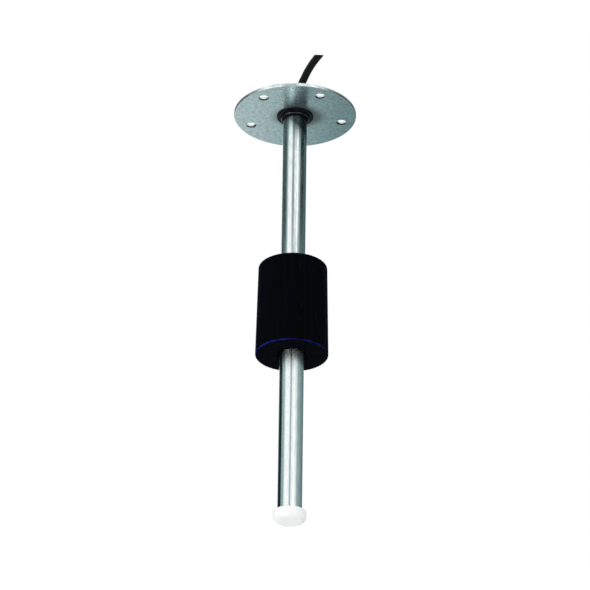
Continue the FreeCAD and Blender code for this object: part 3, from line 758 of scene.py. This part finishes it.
# Camera: low in front of the object and far off, with a long lens, so that the stem's edges stay nearly
# parallel. It looks up at the flange's underside.
PHOTO_WIDTH = 590
FOCAL_PIXELS = 4000.0
CAMERA_PLACE = (0.17511, -1.95657, -1.1305)
CAMERA_TURN = 5.075
CAMERA_RISE = 27.365
CAMERA_ROLL = 0.795
scene = bpy.context.scene
camera = bpy.data.objects.new("camera", bpy.data.cameras.new("camera"))
camera.data.sensor_width = 36.0
camera.data.lens = camera.data.sensor_width * FOCAL_PIXELS / PHOTO_WIDTH
camera.data.clip_end = 200.0
sight = (Matrix.Rotation(np.radians(CAMERA_TURN), 4, "Z")
         @ Matrix.Rotation(np.radians(90 + CAMERA_RISE), 4, "X")
         @ Matrix.Rotation(np.radians(CAMERA_ROLL), 4, "Z"))
camera.matrix_world = Matrix.Translation(CAMERA_PLACE) @ sight
scene.collection.objects.link(camera)
scene.camera = camera

# Studio: a pale floor well below the object, a large soft lamp in front on the left and a smaller one on
# the right, and a white surround that the metal mirrors too. Distances here are in metres.
FLOOR_HALF = 40.0
FLOOR_LEVEL = -2.8
FLOOR_GLOW = (0.13, 0.13, 0.13)
TOWARDS = np.array([0.0889, -0.9960])
RIGHTWARDS = np.array([0.9960, 0.0889])
LAMP_AIM = Vector((0.0, 0.0, -0.12))


def seen_rays(tree):
    """1 for rays that show a surface, straight, in a mirror or through glass, and 0 for rays that light."""
    path = add(tree, "ShaderNodeLightPath").outputs
    seen = reckon(tree, "MAXIMUM", path["Is Camera Ray"], path["Is Glossy Ray"])
    return reckon(tree, "MAXIMUM", seen, path["Is Transmission Ray"])


def plan_at(distance, bearing):
    """Place in plan at a distance in metres from the Z axis and a bearing in degrees to the right of the
    camera's side: cosine of it towards the camera and sine of it to the camera's right."""
    angle = np.radians(np.array(bearing, float))
    return distance * (np.cos(angle)[..., None] * TOWARDS + np.sin(angle)[..., None] * RIGHTWARDS)


def lamp(name, bearing, distance, height, wide, high, power):
    """A soft lamp at a bearing, distance and height, turned towards the middle of the stem."""
    data = bpy.data.lights.new(name, "AREA")
    data.shape = "RECTANGLE"
    data.size = wide
    data.size_y = high
    data.energy = power
    piece = bpy.data.objects.new(name, data)
    spot = Vector((*plan_at(distance, bearing), height))
    towards_stem = (LAMP_AIM - spot).to_track_quat("-Z", "Y")
    piece.matrix_world = Matrix.Translation(spot) @ towards_stem.to_matrix().to_4x4()
    scene.collection.objects.link(piece)


scene.view_settings.view_transform = "Standard"
floor_x, floor_y = np.meshgrid(*[np.linspace(-FLOOR_HALF, FLOOR_HALF, 3)] * 2)
floor_grid = np.stack([floor_x, floor_y, np.full_like(floor_x, FLOOR_LEVEL), np.zeros_like(floor_x)], -1)
floor = skin("floor", [floor_grid / MM])
floor_paint, tree, surface = finish("floor_paint", {"Specular IOR Level": 0.1, "Emission Strength": 1.0})
dapple = place(tree, patches_group, {"Stretch": (0.01, 0.01, 0.01)})
tree.links.new(mixed(tree, dapple, (0.93, 0.93, 0.93), (0.95, 0.95, 0.95)), surface["Base Color"])
tree.links.new(level(tree, dapple, 0.7, 0.8), surface["Roughness"])
tree.links.new(mixed(tree, seen_rays(tree), (0.0, 0.0, 0.0), FLOOR_GLOW), surface["Emission Color"])
floor.data.materials.append(floor_paint)

surround = bpy.data.worlds.new("surround")
scene.world = surround
surround.use_nodes = True
tree = surround.node_tree
tree.nodes.clear()
lit = add(tree, "ShaderNodeBackground", {"Color": (1, 1, 1, 1), "Strength": 0.9}).outputs[0]
white = add(tree, "ShaderNodeBackground", {"Color": (1, 1, 1, 1), "Strength": 1.0}).outputs[0]
chosen = add(tree, "ShaderNodeMixShader", {0: seen_rays(tree), 1: lit, 2: white}).outputs[0]
add(tree, "ShaderNodeOutputWorld", {"Surface": chosen})

lamp("key_lamp", -46, 1.2, -0.66, 1.2, 0.6, 4.5)
lamp("fill_lamp", 40, 1.4, 0.5, 0.6, 0.6, 1.2)

# Studio walls: plain glowing panels in front of, beside and behind the object, from white to dark. They
# only show as the bands of light and shade in the polished metal.
DARK_TINT = (0.60, 1.0, 1.03)


def studio_wall(name, distance, bearings, bands, fade=0.02):
    """Panel round the Z axis, with columns at bearings. A band is (low, high, shades): heights in metres
    and a shade for each column. Each band fades into the next. Past the outer ones the panel fades to
    white. The mesh's edge mark carries the shade."""
    heights = np.array([height for low, high, _ in bands for height in (low, high)])
    shades = np.repeat([band[2] for band in bands], 2, axis=0)
    if fade:
        heights = np.concatenate([[heights[0] - fade], heights, [heights[-1] + fade]])
        shades = np.pad(shades, ((1, 1), (0, 0)), constant_values=1.0)
    grid = np.zeros((*shades.shape, 4))
    grid[..., :2] = plan_at(distance, bearings)
    grid[..., 2] = heights[:, None]
    grid[..., :3] /= MM
    grid[..., 3] = shades
    panel = skin(name, [grid])
    material = bpy.data.materials.new(name)
    material.use_nodes = True
    tree = material.node_tree
    tree.nodes.clear()
    shade = edge_mark(tree)
    tint = mixed(tree, shade, DARK_TINT, (1.0, 1.0, 1.0))
    glow = add(tree, "ShaderNodeEmission", {"Color": tint, "Strength": shade}).outputs[0]
    add(tree, "ShaderNodeOutputMaterial", {"Surface": glow})
    panel.data.materials.append(material)
    panel.visible_camera = False
    panel.visible_diffuse = False
    panel.visible_shadow = False
    panel.visible_transmission = False


studio_wall("left_wall", 0.1, (-52, -66, -79, -85, -91, -97, -104, -111, -140, -148), [
    (-0.42, -0.098, (0.95, 0.33, 0.48, 0.42, 0.15, 0.02, 0.0, 0.02, 0.05, 0.4)),
    (-0.088, -0.07, (1.0, 1.0, 1.0, 0.9, 0.9, 0.8, 0.7, 0.6, 0.5, 0.6)),
    (-0.058, 0.045, (1.0, 0.3, 0.07, 0.06, 0.06, 0.06, 0.07, 0.07, 0.11, 0.6))])
studio_wall("right_wall", 0.1, (32, 50, 60, 68, 92, 104, 130, 150, 160), [
    (-0.42, -0.095, (1.0, 0.9, 0.52, 0.44, 0.34, 0.27, 0.2, 0.18, 0.4)),
    (-0.088, -0.048, (0.35, 0.3, 0.3, 0.25, 0.18, 0.15, 0.15, 0.2, 0.4)),
    (-0.038, -0.038, (1.0, 0.5, 0.18, 0.10, 0.12, 0.15, 0.13, 0.12, 0.4)),
    (-0.005, 0.045, (1.0, 0.42, 0.1, 0.0, 0.0, 0.11, 0.11, 0.11, 0.4))])
studio_wall("front_low_wall", 0.105, (-12, -6, 2, 7), [(-0.42, -0.1, (1.0, 0.45, 0.4, 1.0))])
studio_wall("front_wall", 0.105, (-23, -16, -3, 4), [(-0.035, 0.03, (1.0, 0.16, 0.12, 1.0))], fade=0.01)
studio_wall("low_wall", 0.1, (-8, 2, 30), [(-0.09, -0.046, (1.0, 0.3, 0.35))], fade=0)
studio_wall("back_wall", 0.25, (196, 188, 180, 172, 164), [
    (-0.4, -0.02, (1.0, 1.0, 0.68, 0.31, 0.22))], fade=0)
